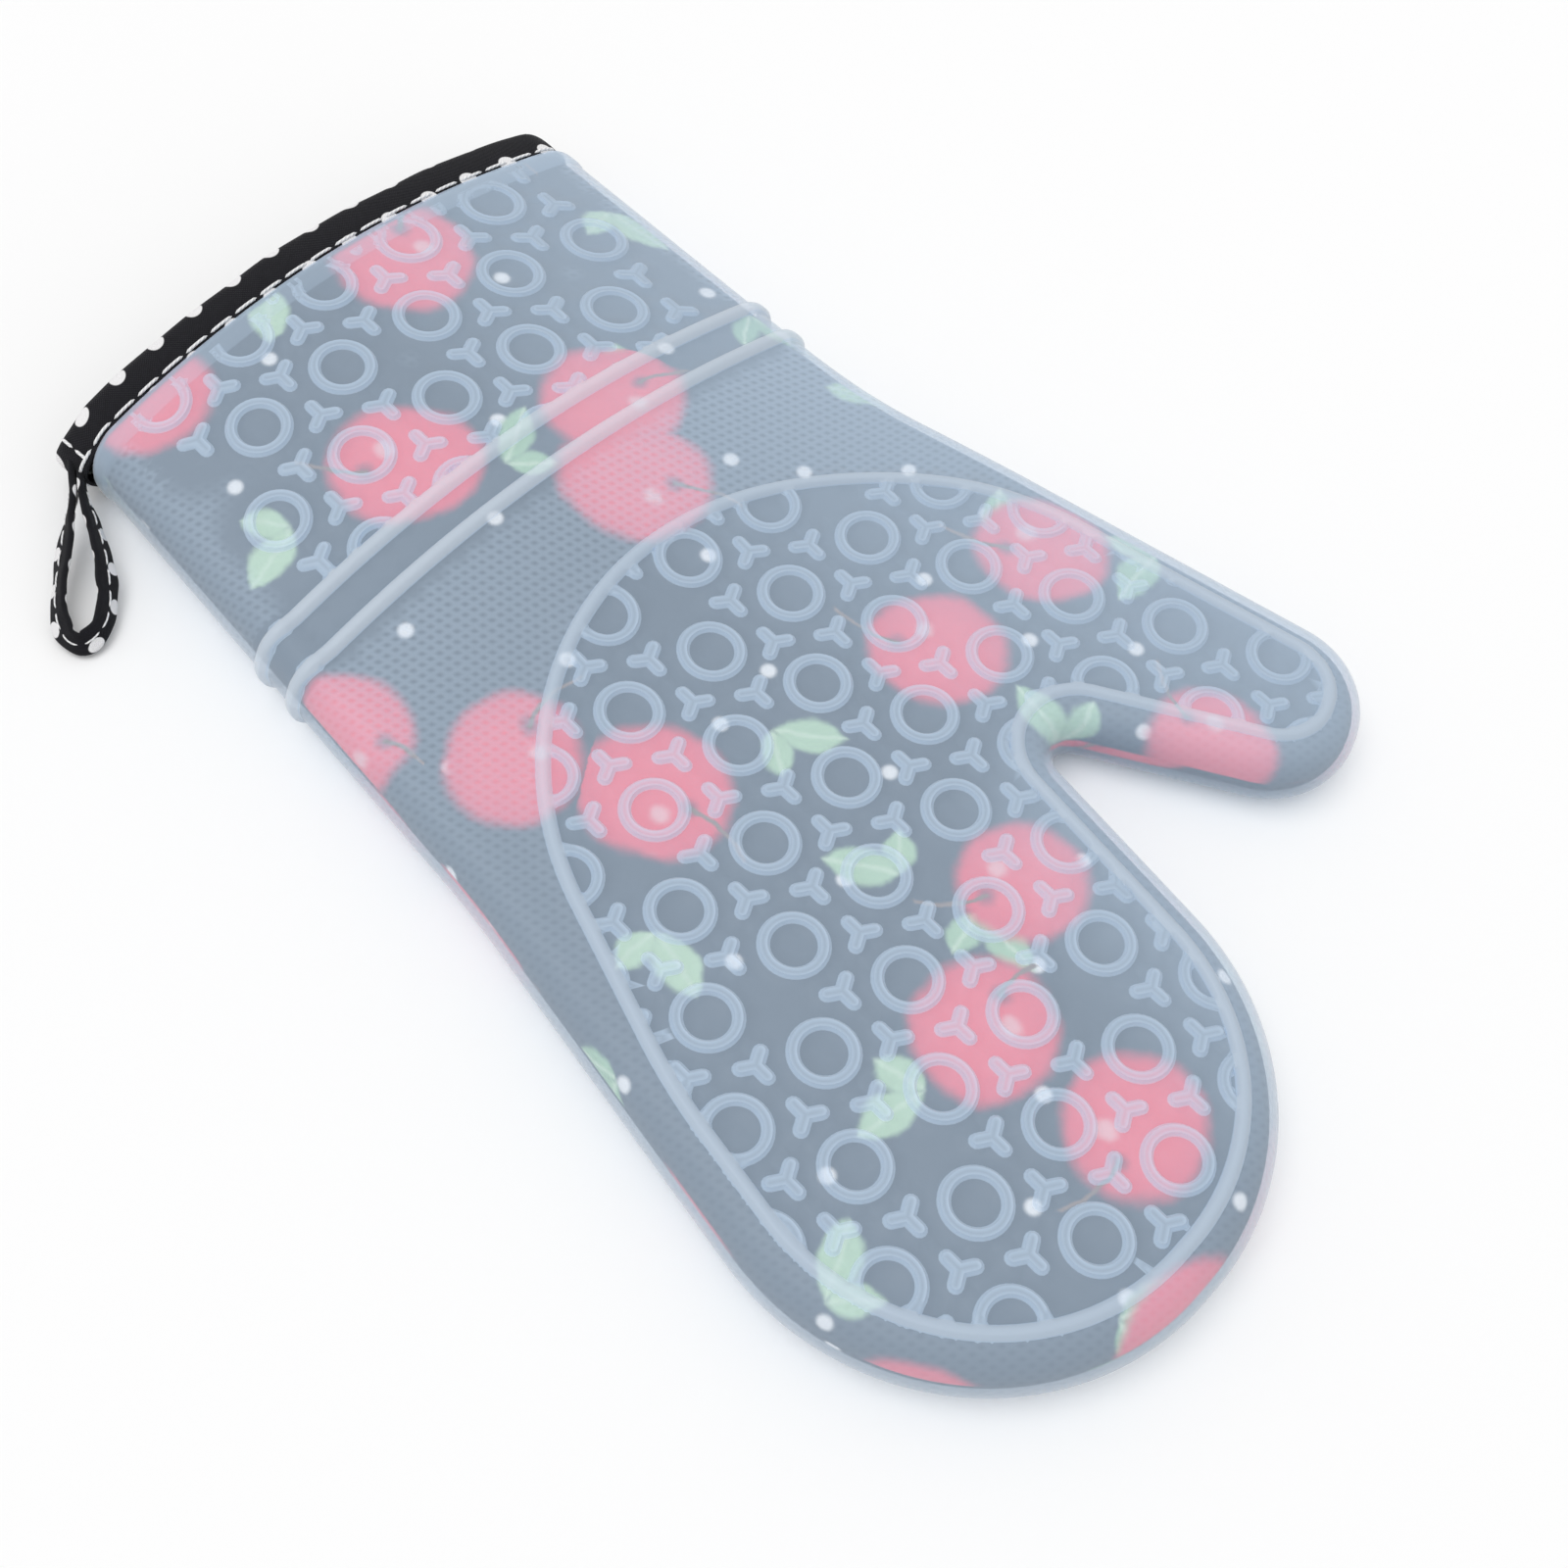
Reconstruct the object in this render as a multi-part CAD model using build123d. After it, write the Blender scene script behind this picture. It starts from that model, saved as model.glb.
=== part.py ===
from build123d import *
import os
from math import asin, cos, degrees, radians, sin, sqrt, tan

# Oven mitt lying on its back: a moulded silicone shell over a sewn, padded cotton liner.
# All sizes are in millimetres. X runs from the cuff's rim to the fingertips, Y towards the thumb, Z up.

# Plan of the shell: corners of its outline before they are rounded
mitt_length = 328.0
cuff_width = 161.0
heel_along = 150.0
heel_out = 96.5
finger_out = 130.5
index_out = 11.4
crotch_along = 207.3
crotch_out = 29.4
thumb_inner_along = 276.0
thumb_inner_out = 69.5
thumb_outer_along = 262.0
thumb_outer_out = 108.5
wrist_along = 108.0
wrist_out = 78.3
heel_radius = 300.0
wrist_radius = 200.0
crotch_radius = 6.0
end_fill = 0.97

# Layers, from the outside in
shell_thickness = 20.0
edge_flat = 0.5
shell_wall = 1.8
cotton = 0.6
wadding = 2.2
lining = 0.5
layer_gap = 0.2

# Crown of the wrist, where the padded cuff stands up
crown_along = 45.0
crown_spread = 70.0
crown_height = 7.5

# Raised pattern, the same on the palm and on the back
relief = 1.6
stud_relief = 1.2
rim_relief = 1.0
rim_width = 6.0
ridge_along = 71.5
ridge_pitch = 12.5
ridge_width = 4.5
rib_clear = 0.3
rib_width = 4.0
field_along = 200.0
field_radius = 87.0
cuff_field_inset = 17.0
cuff_field_gap = 4.0
ring_pitch = 26.3
ring_turn = 27.0
ring_radius = 8.4
ring_bead = 3.0
palm_ring_along = 190.7
palm_ring_out = 39.5
cuff_ring_along = 24.0
cuff_ring_out = 18.0
stud_reach = 4.6
stud_width = 2.4
stud_clear = 0.8

# Cuff binding, its stitching and the hanging loop
binding_depth = 11.5
tape = 0.8
rim_gap = 0.4
stitch_length = 5.0
stitch_pitch = 7.0
stitch_inset = 2.4
thread = 0.9
loop_length = 52.0
loop_width = 15.0
loop_tape = 1.8
loop_height = 6.0
loop_direction = -35.0
loop_leg_gap = 0.8
loop_gap = 0.3

# Fold line at the root of the thumb
fold_turn = 20.0
fold_offset = 27.0
fold_gap = 0.3

# Sizes that follow from those above
edge_radius = shell_thickness / 2 - edge_flat
shell_top = relief + shell_thickness
mid_height = relief + shell_thickness / 2
cotton_inset = shell_wall + layer_gap
wadding_inset = cotton_inset + cotton + layer_gap
lining_inset = wadding_inset + wadding + layer_gap
cavity_inset = lining_inset + lining
binding_outer_inset = cotton_inset - layer_gap - tape
binding_inner_inset = cavity_inset + layer_gap + tape
liner_end = -binding_depth + tape + layer_gap
run_out = binding_depth + 2 * shell_thickness
reach = 2 * mitt_length
crotch = Vector(crotch_along, crotch_out)


def beyond(a, b, distance):
    """Point on the line from a through b, a distance past b."""
    return b + (b - a).normalized() * distance


def end_radius(a, b, c, d):
    """Radius that rounds the end b to c of a lobe whose sides are a to b and c to d."""
    tangents = [tan(radians((q - p).get_angle(r - q) / 2)) for p, q, r in ((a, b, c), (b, c, d))]
    return end_fill * (c - b).length / sum(tangents)


def mitt_outline():
    """Plan of the shell at its widest height, running out past the cuff."""
    cuff_little = Vector(0, -cuff_width / 2)
    heel = Vector(heel_along, -heel_out)
    tip_little = Vector(mitt_length, -finger_out)
    tip_index = Vector(mitt_length, index_out)
    thumb_inner = Vector(thumb_inner_along, thumb_inner_out)
    thumb_outer = Vector(thumb_outer_along, thumb_outer_out)
    wrist = Vector(wrist_along, wrist_out)
    cuff_thumb = Vector(0, cuff_width / 2)
    fingertip = end_radius(heel, tip_little, tip_index, crotch)
    thumb_tip = end_radius(crotch, thumb_inner, thumb_outer, wrist)
    corners = [
        (beyond(heel, cuff_little, run_out), shell_thickness),
        (heel, heel_radius),
        (tip_little, fingertip),
        (tip_index, fingertip),
        (crotch, crotch_radius),
        (thumb_inner, thumb_tip),
        (thumb_outer, thumb_tip),
        (wrist, wrist_radius),
        (beyond(wrist, cuff_thumb, run_out), shell_thickness),
    ]
    edge = FilletPolyline([p for p, _ in corners], radius=[r for _, r in corners], close=True)
    return make_face(edge.edges())


def drawn_in(plan, amount):
    """A flat shape drawn in all round, with its corners kept sharp."""
    return offset(plan, -amount, kind=Kind.INTERSECTION)


def inset_plan(amount):
    """The plan drawn in by an amount, or let out if it is negative."""
    return drawn_in(outline, amount) if amount else outline


def crown(inset):
    """Low dome on the palm side of the wrist, inset from the shell's outer surface."""
    ball = (crown_spread**2 + crown_height**2) / (2 * crown_height)
    seat = shell_top - inset - shell_wall / 4
    dome = Pos(crown_along, 0, shell_top + crown_height - ball) * Sphere(ball - inset)
    return dome & (Pos(crown_along, 0, seat + reach) * Box(2 * reach, 2 * reach, 2 * reach))


def bag(inset):
    """Solid within the shell's outer surface, inset all round."""
    slab = extrude(Pos(0, 0, relief + inset) * inset_plan(inset), shell_thickness - 2 * inset)
    rims = slab.faces().filter_by(Axis.Z).edges()
    return fillet(rims, edge_radius - inset) + crown(inset)


def between(start, end):
    """Slab across the whole mitt from one place along it to another."""
    return Pos((start + end) / 2, 0, 0) * Box(end - start, 2 * reach, 2 * reach)


def layer(outer, inner, start):
    """Open bag between two insets, from a place near the cuff to the fingertips."""
    return (bag(outer) - bag(inner)) & between(start, reach)


def belt(start, width, height):
    """Band raised all round the shell."""
    return (bag(-height) & between(start, start + width)) - bag(shell_wall / 2)


def raised(plans, bottom, top):
    """Flat patterns carried through to the palm and the back, between two insets."""
    columns = [extrude(Pos(0, 0, -reach) * plan, 2 * reach) for plan in plans]
    skin = bag(bottom) - bag(top)
    return [solid for column in columns for solid in (skin & column).solids()]


def palm_field():
    """Area of the palm's pattern: round at the wrist, and following the outline elsewhere."""
    spread = Polyline((reach, -reach), (reach, reach))
    wrist_side = make_hull((Pos(field_along, 0) * Circle(field_radius)).edges() + spread.edges())
    return inset_plan(edge_radius + rib_clear) & wrist_side


def cuff_field():
    """Area of the pattern between the rim and the first ridge."""
    start = rim_width + cuff_field_gap
    end = ridge_along - ridge_width / 2 - cuff_field_gap
    strip = Pos((start + end) / 2, 0) * Rectangle(end - start, 2 * cuff_width)
    return inset_plan(cuff_field_inset) & strip


def three_armed_stud():
    """Small stud of three round-ended arms."""
    arm = Pos(stud_reach / 2, 0) * SlotOverall(stud_reach + stud_width, stud_width)
    return arm + [Rot(0, 0, turn) * arm for turn in (120, 240)]


def grip(field, along, out):
    """Rings on a triangular lattice, a stud between each three, all cut off at the field's edge."""
    ring = Circle(ring_radius) - Circle(ring_radius - ring_bead)
    stud = three_armed_stud()
    box = field.bounding_box()
    middle = box.center()
    third = ring_pitch / sqrt(3)
    first = Pos(along, -out) * Rot(0, 0, ring_turn)
    rows = int(mitt_length / ring_pitch)
    shapes = []
    for row in range(-rows, rows + 1):
        for place in range(-rows, rows + 1):
            spot = first * Pos((place + row / 2) * ring_pitch, row * ring_pitch * sqrt(3) / 2)
            away = spot.position - middle
            if abs(away.X) < box.size.X / 2 + ring_pitch and abs(away.Y) < box.size.Y / 2 + ring_pitch:
                shapes.append(spot * ring)
                shapes.append(spot * Rot(0, 0, 30) * Pos(third, 0) * stud)
                shapes.append(spot * Rot(0, 0, 90) * Pos(third, 0) * stud)
    cut = [shape & field for shape in shapes]
    return [face for piece in cut if piece for face in piece.faces() if face.area > stud_width**2]


def silicone_shell():
    """The moulding: a bag with a beaded rim, two wrist ridges, a palm rib and its grip pattern."""
    palm = palm_field()
    rib = palm - drawn_in(palm, rib_width)
    inside_rib = drawn_in(palm, rib_width + stud_clear)
    studs = grip(inside_rib, palm_ring_along, palm_ring_out)
    studs += grip(cuff_field(), cuff_ring_along, cuff_ring_out)
    first_ridge = ridge_along - ridge_width / 2
    relief_pieces = [belt(0, rim_width, rim_relief)]
    relief_pieces.append(belt(first_ridge, ridge_width, relief))
    relief_pieces.append(belt(first_ridge + ridge_pitch, ridge_width, relief))
    relief_pieces += raised([rib], -relief, shell_wall / 2)
    relief_pieces += raised(studs, -stud_relief, shell_wall / 2)
    return layer(0, shell_wall, 0) + relief_pieces


def cuff_binding():
    """Tape folded over the liner's raw edge: an outer leg, the fold and an inner leg."""
    around = bag(binding_outer_inset) - bag(binding_inner_inset)
    held = bag(binding_outer_inset + tape) - bag(binding_inner_inset - tape)
    return (around & between(-binding_depth, -rim_gap)) - (held & between(-binding_depth + tape, reach))


def binding_stitching():
    """Rows of stitches on the palm and back of the binding, beside the shell's rim."""
    run = cuff_width - 2 * shell_thickness
    count = int(run / stitch_pitch)
    places = [Pos(-rim_gap - stitch_inset, (k - (count - 1) / 2) * stitch_pitch) for k in range(count)]
    stitches = [place * Rot(0, 0, 90) * SlotOverall(stitch_length, thread) for place in places]
    return Compound(raised(stitches, binding_outer_inset - thread / 2, binding_outer_inset))


def loop_root_place():
    """Middle of the loop's sewn root, just outside the binding on the little-finger side."""
    taper = (heel_out - cuff_width / 2) / heel_along
    along = -binding_depth / 2
    side = cuff_width / 2 + taper * along - binding_outer_inset
    return Vector(along, -side - loop_gap - loop_tape - loop_leg_gap / 2, mid_height)


def hanging_loop():
    """Tape folded into a drop-shaped loop on its edge, sloping from its root down to the table."""
    root = (Circle(loop_tape + loop_leg_gap / 2)).edges()
    end = (Pos(loop_length - loop_width / 2, 0) * Circle(loop_width / 2)).edges()
    drop = make_hull(root + end)
    band = extrude(drop - drawn_in(drop, loop_tape), loop_height / 2, both=True)
    slope = degrees(asin((mid_height - loop_height / 2) / loop_length))
    return Pos(*loop_root_place()) * Rot(0, 0, loop_direction) * Rot(0, slope, 0) * band


outline = mitt_outline()
fold_normal = Vector(sin(radians(fold_turn)), cos(radians(fold_turn)))
fold_line = Vector(fold_normal.Y, -fold_normal.X)
fold = Plane(origin=crotch + fold_normal * fold_offset, x_dir=fold_line, z_dir=fold_normal)
middle_plane = Plane.XY.offset(mid_height)

# The layers, each cut at the thumb's fold line; the cloth layers are also in a palm half and a back half
nodes = {}
cloth = {
    "printed_cotton": (cotton_inset, cotton_inset + cotton),
    "wadding": (wadding_inset, wadding_inset + wadding),
    "lining": (lining_inset, cavity_inset),
}
layers = {"silicone_shell": silicone_shell()}
for name, (outer, inner) in cloth.items():
    whole = layer(outer, inner, liner_end)
    layers[name + "_palm"] = split(whole, middle_plane, Keep.TOP)
    layers[name + "_back"] = split(whole, middle_plane, Keep.BOTTOM)
for name, whole in layers.items():
    nodes[name + "_hand"] = split(whole, fold.offset(-fold_gap / 2), Keep.BOTTOM)
    nodes[name + "_thumb"] = split(whole, fold.offset(fold_gap / 2), Keep.TOP)
nodes["cuff_binding"] = cuff_binding()
nodes["binding_stitching"] = binding_stitching()
nodes["hanging_loop"] = hanging_loop()

# The origin goes under the middle of the whole mitt, on the table
extent = Compound([solid for part in nodes.values() for solid in part.solids()]).bounding_box()
to_origin = Pos(-extent.center().X, -extent.center().Y, -extent.min.Z)
os.makedirs("parts", exist_ok=True)
for name, part in nodes.items():
    export_step(to_origin * part, f"parts/{name}.step")

fold_place = to_origin * Pos(*(fold.origin + Vector(0, 0, shell_top + relief)))
root_place = to_origin * Pos(*loop_root_place())
print("cuff rim at", to_origin.position)
print("thumb fold at", fold_place.position, "along", fold_line)
print("loop root at", root_place.position)
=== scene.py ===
import math

import bmesh
import bpy
import numpy as np
from mathutils import Matrix, Vector
from mathutils.geometry import delaunay_2d_cdt
from mathutils.kdtree import KDTree


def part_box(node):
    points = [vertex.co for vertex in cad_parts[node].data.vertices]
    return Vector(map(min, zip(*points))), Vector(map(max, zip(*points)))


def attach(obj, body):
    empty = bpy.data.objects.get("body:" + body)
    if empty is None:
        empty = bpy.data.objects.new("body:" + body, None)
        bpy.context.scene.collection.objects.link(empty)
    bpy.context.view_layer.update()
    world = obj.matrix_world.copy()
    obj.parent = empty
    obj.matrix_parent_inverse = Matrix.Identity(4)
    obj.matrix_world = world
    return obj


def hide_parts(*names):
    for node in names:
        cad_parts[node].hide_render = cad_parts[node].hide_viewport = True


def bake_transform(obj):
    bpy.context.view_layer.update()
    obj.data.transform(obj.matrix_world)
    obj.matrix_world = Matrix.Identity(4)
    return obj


# Oven mitt on its back: a moulded silicone shell over a padded cotton liner with a bound cuff and a loop.
# Sizes are in millimetres from the cuff's rim: X to the fingertips, Y towards the thumb, Z up from the table.

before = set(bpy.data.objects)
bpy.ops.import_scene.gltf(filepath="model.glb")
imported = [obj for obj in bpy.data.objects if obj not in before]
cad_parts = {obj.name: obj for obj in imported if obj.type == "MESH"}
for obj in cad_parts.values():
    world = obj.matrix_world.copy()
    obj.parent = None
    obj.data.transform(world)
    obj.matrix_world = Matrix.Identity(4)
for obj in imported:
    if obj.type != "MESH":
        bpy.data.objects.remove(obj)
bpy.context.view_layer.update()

# Plan of the mitt: the corners of its outline, the radii that round them, and how far its cuff is squared
cuff_little = np.array((0.0, -80.5))
heel = np.array((150.0, -96.5))
tip_little = np.array((328.0, -130.5))
tip_index = np.array((328.0, 11.4))
crotch = np.array((207.3, 29.4))
thumb_inner = np.array((276.0, 69.5))
thumb_outer = np.array((262.0, 108.5))
wrist = np.array((108.0, 78.3))
cuff_thumb = np.array((0.0, 80.5))
heel_radius = 300.0
fingertip_radius = 66.47
crotch_radius = 6.0
thumb_radius = 23.77
wrist_radius = 200.0
squared_to = 60.0

# Section of the mitt: its middle, half its thickness, the reach of its rounded edge, and the wrist's crown
mid_height = 11.6
half_thickness = 10.0
edge_reach = 8.0
crown_height = 8.0
crown_half_width = 77.0
crown_full = 75.0
crown_end = 150.0
crown_at_rim = 0.95

# How the soft cuff lies: its lines run askew and bow away from the hand, less and less towards the palm
rim_slant = 3.4
rim_bow = 5.5
ridge_slant = 7.4
ridge_bow = 3.7
settled_from = 90.0
settled_to = 165.0

# Layers, as insets of their outer and inner faces from the shell's outside
shell_insets = (0.0, 1.8)
cotton_insets = (2.0, 2.6)
wadding_insets = (2.8, 5.0)
lining_insets = (5.2, 5.7)
liner_start = -9.5

# Where on the printed cloth the palm's side and the back's side were cut
cloth_cut = {1: np.array((0.0, 0.0)), -1: np.array((431.0, 157.0))}

# Raised pattern, the same on the palm and on the back: the cuff's rim, the wrist's ridges and the palm's rib
rim_width = 6.0
rim_relief = 0.6
rim_milkiness = 0.12
ridge_places = (71.5, 84.0)
ridge_width = 4.0
ridge_relief = 1.6
rib_inset = 10.2
rib_width = 3.4
rib_relief = 1.3
rib_bow = np.array(((115.0, 69.2), (115.0, -61.4), (216.5, -98.9)))
rib_bow_radii = [85.0, 85.0, 150.0]

# Rings on a triangular lattice, with three-armed studs between them
ring_pitch = 26.4
ring_turn = 27.0
ring_middle = 6.9
ring_width = 2.9
ring_relief = 1.0
stud_reach = 3.6
stud_width = 3.4
stud_relief = 1.0
stud_arms = (0, 120, 240)
palm_ring = np.array((189.85, -40.9))
cuff_ring = np.array((5.6, -33.5))
cuff_side_margin = 18.0
lattice_reach = 14

# Section of every bead, in shares of half its width: steep sides, a hollow in some tops, and a milky edge
bead_rows = (-1.1, -0.95, -0.62, 0, 0.62, 0.95, 1.1)
grip_hollow = 0.4
hollow_edge = 0.6
milky_edge = 1.1
milky_blur = 0.15

# Where the plain surface is knurled, and where painted sheen makes the shell milkier at the thumb's and
# index's sides
bare_reach = 13.0
bare_blur = 4.0
flush = 0.2
knurled_to = 100.0
smooth_from = 190.0
finger_knurl = 0.35
edge_smoothing = 0.6
thumb_side_painted_sheen = 0.108
thumb_side_reach = 90.0
index_side_painted_sheen = 0.095
index_side_reach = 42.0
crotch_fade = 18.0

# How finely the meshes are drawn: steps along lines, the points that fill faces, and what these keep clear of
cuff_step = 0.75
cuff_step_to = 94.0
palm_step = 1.7
liner_step = 3.0
rib_step = 0.8
hoop_step = 1.2
hoop_reach = 90
ring_points_round = 36
side_rows = 10
mouth_points = 60
shell_spacing = 4.0
liner_spacing = 6.0
row_spacing = 0.866
clear_of_edge = 0.5
clear_of_pattern = 0.45
clear_of_rib = 0.7
clear_of_boundary = 0.3
weld_gap = 2e-6
sharp_angle = 60

# Cuff binding: tape folded over the liner's edge, a little uneven, with a corner that flares
binding_start = -0.3
binding_depth = 11.6
binding_outside = 1.0
binding_inside = 6.7
binding_middle = (binding_outside + binding_inside) / 2
tape_thickness = 0.8
tape_bulge = 0.45
tape_waver = ((0.22, 9.0, 0.0), (0.16, 4.1, 1.0))
corner_flare = 6.0
flare_at_rim = 0.55
dot_shear = 0.025
dot_shift = 3.125

# Thread: the binding's stitches, the tack at the loop's root, and the loop's finer stitches
stitch_along = -1.6
stitch_length = 7.3
stitch_pitch = 8.3
stitch_sunk = 0.2
stitch_crest = 0.7
thread_radius = 0.42
thread_taper = 4.0
thread_point = 0.05
never_along = np.array((0.31, 0.12, 0.94))
tack_place = 11
tack_ends = (-1.3, -10.4)
tack_lift = 0.55
loop_stitch_length = 4.8
loop_stitch_pitch = 5.6
loop_stitch_sunk = -0.15
loop_stitch_crest = 0.22
loop_thread_radius = 0.22
loop_stitch_margins = (12.0, 16.0)

# Hanging loop: folded tape on its edge, from its root in the binding down to the table
loop_root = np.array((-5.75, -81.3, mid_height))
loop_direction = -36.5
loop_length = 49.0
loop_tail = 4.2
loop_sway = 0.0006
loop_foot = 0.4
loop_clear_of_table = 0.1
loop_tape_width = 6.0
loop_tape_thickness = 1.7
loop_opens_at = 6.0
loop_opens_over = 16.0
loop_lean = 0.62
loop_end_lean = 0.22
loop_ripple = 0.12
loop_ripples = 14
loop_waver = 0.07
loop_waver_length = 8.7
loop_print_stretch = (1.35, 1.6)
loop_print_shift = 10.0


def unit(v):
    return v / np.linalg.norm(v, axis=-1, keepdims=True)


def direction(degrees):
    """Plan direction at an angle from X, or one for each of several angles."""
    angle = np.radians(degrees)
    return np.stack((np.cos(angle), np.sin(angle)), axis=-1)


def turned(v, angle):
    """Plan vectors turned about Z by an angle in radians."""
    c = math.cos(angle)
    s = math.sin(angle)
    return np.stack((c * v[..., 0] - s * v[..., 1], s * v[..., 0] + c * v[..., 1]), axis=-1)


def columns(*parts):
    """Parts side by side, one row for each place; a single value serves for all places."""
    return np.column_stack(np.broadcast_arrays(*parts))


def eased(share):
    """A share from nothing to one that starts and stops gently."""
    held = np.clip(share, 0, 1)
    return held * held * (3 - 2 * held)


def headings(line):
    """Which way a line runs at each of its points."""
    return unit(np.gradient(line, axis=0))


def running_length(line):
    """How far along a line each of its points is."""
    return np.concatenate(([0], np.cumsum(np.linalg.norm(np.diff(line, axis=0), axis=1))))


def straight(a, b, step):
    """Points from a up to but not including b."""
    length = np.linalg.norm(b - a)
    places = [0.0]
    while places[-1] < length:
        here = a + (b - a) * places[-1] / length
        places.append(places[-1] + step(here[0]))
    return [a + (b - a) * place / places[-1] for place in places[:-1]]


def rounded_run(corners, radii, step):
    """Points along straight runs with rounded corners; step gives their spacing along the mitt."""
    points = []
    start = corners[0]
    for before, corner, after, radius in zip(corners, corners[1:], corners[2:], radii):
        along = unit(corner - before)
        onward = unit(after - corner)
        turn = math.atan2(along[0] * onward[1] - along[1] * onward[0], along @ onward)
        tangent = abs(radius * math.tan(turn / 2))
        arc_start = corner - along * tangent
        points += straight(start, arc_start, step)
        spoke = turned(along, -math.pi / 2) * math.copysign(radius, turn)
        count = max(3, round(abs(turn) * radius / step(corner[0])))
        points += [arc_start - spoke + turned(spoke, turn * k / count) for k in range(count)]
        start = corner + onward * tangent
    return np.array(points + straight(start, corners[-1], step) + [corners[-1]])


def outward_of(outline):
    """Directions out of an outline that runs counter-clockwise."""
    ahead = headings(outline)
    return columns(ahead[:, 1], -ahead[:, 0])


def side_points(along):
    """Places of the mitt's two sides in line with the cuff, at one place along it."""
    little = cuff_little + (heel - cuff_little) * along / heel[0]
    thumb = cuff_thumb + (wrist - cuff_thumb) * along / wrist[0]
    return little, thumb


def mitt_edge(start, step):
    """Outline at mid height from one side of the cuff round to the other, and the ways out of it."""
    little, thumb = side_points(start)
    corners = [little, heel, tip_little, tip_index, crotch, thumb_inner, thumb_outer, wrist, thumb]
    tips = [fingertip_radius, fingertip_radius, crotch_radius, thumb_radius, thumb_radius]
    edge = rounded_run(corners, [heel_radius] + tips + [wrist_radius], step)
    turning = np.clip(edge[:, 0] / squared_to, 0, 1)[:, None]
    sideways = columns(0.0, np.sign(edge[:, 1]))
    return edge, turning * outward_of(edge) + (1 - turning) * sideways


def drawn_in(before, corner, after, amount):
    """Corner of an outline drawn in by an amount."""
    along = unit(corner - before)
    onward = unit(after - corner)
    inward = turned(along, math.pi / 2) + turned(onward, math.pi / 2)
    return corner + inward * amount / (1 + along @ onward)


def palm_rib():
    """Middle line of the rib round the palm's pattern: a bow at the wrist, then the outline drawn in."""
    ends = [heel, tip_little, tip_index, crotch, thumb_inner, thumb_outer, wrist]
    inner = [drawn_in(a, b, c, rib_inset) for a, b, c in zip(ends, ends[1:], ends[2:])]
    tips = [fingertip_radius - rib_inset] * 2 + [crotch_radius + rib_inset] + [thumb_radius - rib_inset] * 2
    middle = (inner[-1] + rib_bow[0]) / 2
    corners = [middle, *rib_bow, *inner, middle]
    return rounded_run(corners, rib_bow_radii + tips, lambda along: rib_step)[:-1]


def inside(points, loop):
    """Which points lie within a closed loop."""
    found = np.zeros(len(points), dtype=bool)
    for (x0, y0), (x1, y1) in zip(loop, np.roll(loop, -1, axis=0)):
        if y0 != y1:
            spans = (points[:, 1] > y0) != (points[:, 1] > y1)
            found ^= spans & (points[:, 0] < x0 + (points[:, 1] - y0) * (x1 - x0) / (y1 - y0))
    return found


def nearest_gap(points, targets):
    """Distance from each point to the nearest of some others."""
    tree = KDTree(len(targets))
    for k, target in enumerate(targets):
        tree.insert((target[0], target[1], 0), k)
    tree.balance()
    return np.array([tree.find((x, y, 0))[2] for x, y in points])


def near_field(targets, field):
    """Which targets lie in or near the box round a field's points."""
    low = field.min(axis=0) - ring_pitch
    high = field.max(axis=0) + ring_pitch
    return ((targets > low) & (targets < high)).all(axis=1)


def bead(gap, width, relief, hollow=0.0):
    """Height and milkiness of a moulded bead, from the distance to its middle line."""
    part = 2 * gap / width
    dip = hollow * np.clip(1 - (part / hollow_edge) ** 2, 0, 1)
    height = np.clip(1 - part**4, 0, 1) - dip
    milkiness = np.clip((milky_edge - part) / milky_blur, 0, 1) - dip
    return relief * np.array((height, milkiness))


def hoops(along):
    """Height and milkiness of the rim and of the two wrist ridges, which run all round the mitt."""
    raised = bead(np.abs(along - rim_width / 2), rim_width, rim_relief)
    raised[1] *= rim_milkiness
    for place in ridge_places:
        raised = np.maximum(raised, bead(np.abs(along - place), ridge_width, ridge_relief))
    return raised


def crown(along, across):
    """How far the padding lifts the palm side of the wrist."""
    arch = np.clip(1 - (across / crown_half_width) ** 2, 0, 1)
    fall = 1 - eased((along - crown_full) / (crown_end - crown_full))
    rise = crown_at_rim + (1 - crown_at_rim) * np.minimum(along / ridge_places[0], 1)
    return crown_height * arch * fall * rise


def lattice(origin):
    """Ring centres, and the studs between them with the turn of each; one stud in eight is left out."""
    steps = np.arange(-lattice_reach, lattice_reach + 1)
    i, j = (grid.ravel() for grid in np.meshgrid(steps, steps))
    rings = origin + ring_pitch * (np.outer(i, direction(ring_turn)) + np.outer(j, direction(ring_turn + 60)))
    left_out = (i % 2 == 1) & ((j + (i - 1) // 2) % 2 == 0)
    reach = ring_pitch / math.sqrt(3)
    outward = rings[~left_out] + reach * direction(ring_turn + 30)
    upright = rings + reach * direction(ring_turn + 90)
    turns = np.repeat((ring_turn + 30, ring_turn + 90), (len(outward), len(upright)))
    return rings, np.vstack((outward, upright)), np.radians(turns)


def cuff_lattice():
    """Rings and studs of the cuff's band, whole at the mitt's two sides."""
    rings, studs, turns = lattice(cuff_ring)
    whole = [
        (places[:, 1] < cuff_thumb[1] - cuff_side_margin)
        & (places[:, 1] > side_points(places[:, :1])[0][:, 1] + cuff_side_margin)
        for places in (rings, studs)]
    return rings[whole[0]], studs[whole[1]], turns[whole[1]]


rib_line = palm_rib()
palm_grips = lattice(palm_ring)
cuff_grips = cuff_lattice()


def ring_points():
    """Points on a ring's bead, about its own centre."""
    spokes = direction(360 * np.arange(ring_points_round) / ring_points_round)
    return np.vstack([spokes * (ring_middle + ring_width / 2 * row) for row in bead_rows])


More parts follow.
